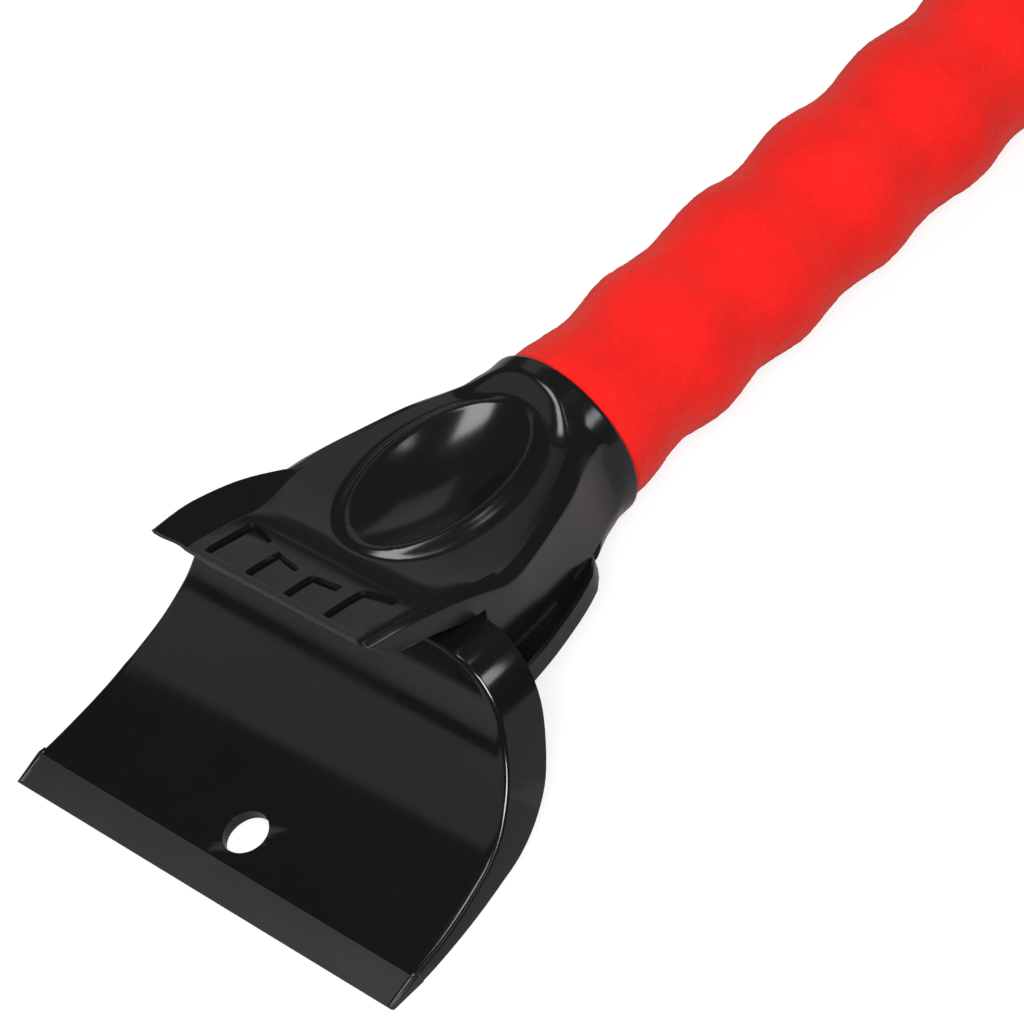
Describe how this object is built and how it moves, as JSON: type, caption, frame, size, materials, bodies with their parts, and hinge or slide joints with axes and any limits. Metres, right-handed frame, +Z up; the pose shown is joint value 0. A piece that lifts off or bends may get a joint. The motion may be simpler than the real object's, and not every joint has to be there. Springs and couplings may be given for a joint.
{
  "type": "windshield ice scraper",
  "caption": "Hand-held windshield ice scraper: a glossy moulded scoop blade and ribbed cover with a thumb rest, on a tube with a wavy foam grip and an end cap.",
  "frame": {"origin": "under the middle of the tool's bounding box, on the surface that the blade edge and the end cap rest on", "axes": "+X from the blade towards the end cap, +Y across the blade, +Z up through the thumb rest"},
  "size_m": [0.2866, 0.1044, 0.0488],
  "materials": {
    "scoop_plastic": "high-gloss moulded black plastic",
    "cover_plastic": "high-gloss moulded black plastic",
    "screw_steel": "zinc-plated steel",
    "tube_metal": "drawn tube, plain",
    "grip_foam": "velvety matte red foam",
    "cap_plastic": "satin moulded black plastic"
  },
  "bodies": {
    "root": {"scoop_base": "scoop_plastic", "head_cover": "cover_plastic", "cover_screws": "screw_steel", "tube_screw": "screw_steel", "handle_tube": "tube_metal", "foam_grip": "grip_foam", "end_cap": "cap_plastic"}
  },
  "joints": []
}
